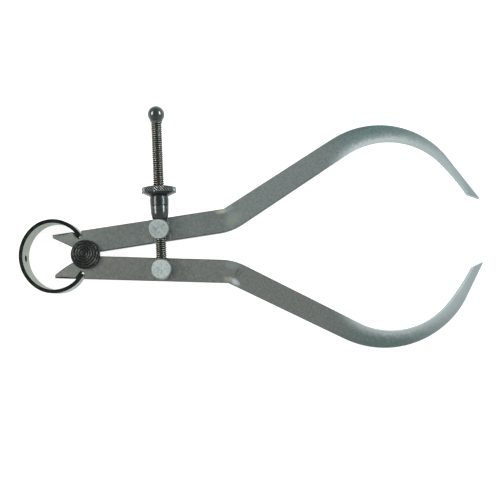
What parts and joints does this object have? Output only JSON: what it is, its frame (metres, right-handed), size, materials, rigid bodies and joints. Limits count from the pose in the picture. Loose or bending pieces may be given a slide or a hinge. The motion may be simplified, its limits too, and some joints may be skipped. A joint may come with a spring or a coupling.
{
  "type": "outside caliper",
  "caption": "Bow spring outside caliper with two curved legs, a round fulcrum and a screw with a knurled nut that sets the opening.",
  "frame": {"origin": "on the fulcrum's axis, in the outer face of its back flange", "axes": "+X from the fulcrum to the tips along the centre line, +Y along the screw towards its ball end, +Z out of the front face"},
  "size_m": [0.1789, 0.0981, 0.0171],
  "materials": {
    "ground_steel": "satin ground steel",
    "bright_steel": "bright turned steel",
    "spring_steel": "blackened spring steel",
    "black_steel": "black oxide"
  },
  "bodies": {
    "frame": {"fulcrum": "black_steel", "bow_spring": "spring_steel"},
    "upper_leg_body": {"upper_leg": "ground_steel"},
    "lower_leg_body": {"lower_leg": "ground_steel"},
    "upper_post": {"upper_stud": "bright_steel", "upper_stud_washer": "bright_steel"},
    "screw_unit": {"lower_stud": "bright_steel", "lower_stud_washer": "bright_steel", "screw_pin": "bright_steel", "adjusting_screw": "black_steel"},
    "sleeve_body": {"thrust_sleeve": "black_steel"},
    "nut_body": {"adjusting_nut": "black_steel"}
  },
  "joints": [
    {"name": "upper_leg_swing", "type": "hinge", "parent": "frame", "child": "upper_leg_body", "pos_m": [0, 0, 0.0036], "axis": [0, 0, 1], "range_deg": [-4.56, 23.61], "deforming": ["bow_spring"]},
    {"name": "lower_leg_swing", "type": "hinge", "parent": "frame", "child": "lower_leg_body", "pos_m": [0, 0, 0.0036], "axis": [0, 0, -1], "range_deg": [-4.56, 23.61], "deforming": ["bow_spring"]},
    {"name": "upper_stud_turn", "type": "hinge", "parent": "upper_leg_body", "child": "upper_post", "pos_m": [0.0295, 0.00764, 0.0093], "axis": [0, 0, -1], "range_deg": [-4.45, 22.8]},
    {"name": "screw_swing", "type": "hinge", "parent": "lower_leg_body", "child": "screw_unit", "pos_m": [0.0295, -0.00764, 0.0093], "axis": [0, 0, 1], "range_deg": [-4.8, 24.55]},
    {"name": "sleeve_slide", "type": "slide", "parent": "screw_unit", "child": "sleeve_body", "axis": [0.0244, 0.9997, 0], "range_m": [-0.0047, 0.0244]},
    {"name": "nut_spin", "type": "hinge", "parent": "sleeve_body", "child": "nut_body", "pos_m": [0.0295, -0.00764, 0.0093], "axis": [0.0244, 0.9997, 0], "range_deg": [-2135, 11035]}
  ],
  "couplings": [
    {"joint": "lower_leg_swing", "follows": "upper_leg_swing", "ratio": 1},
    {"joint": "upper_stud_turn", "follows": "upper_leg_swing", "ratio": 0.9625},
    {"joint": "screw_swing", "follows": "upper_leg_swing", "ratio": 1.0375},
    {"joint": "sleeve_slide", "follows": "upper_leg_swing", "m_per_rad": 0.059003},
    {"joint": "nut_spin", "follows": "upper_leg_swing", "ratio": 467.06}
  ]
}
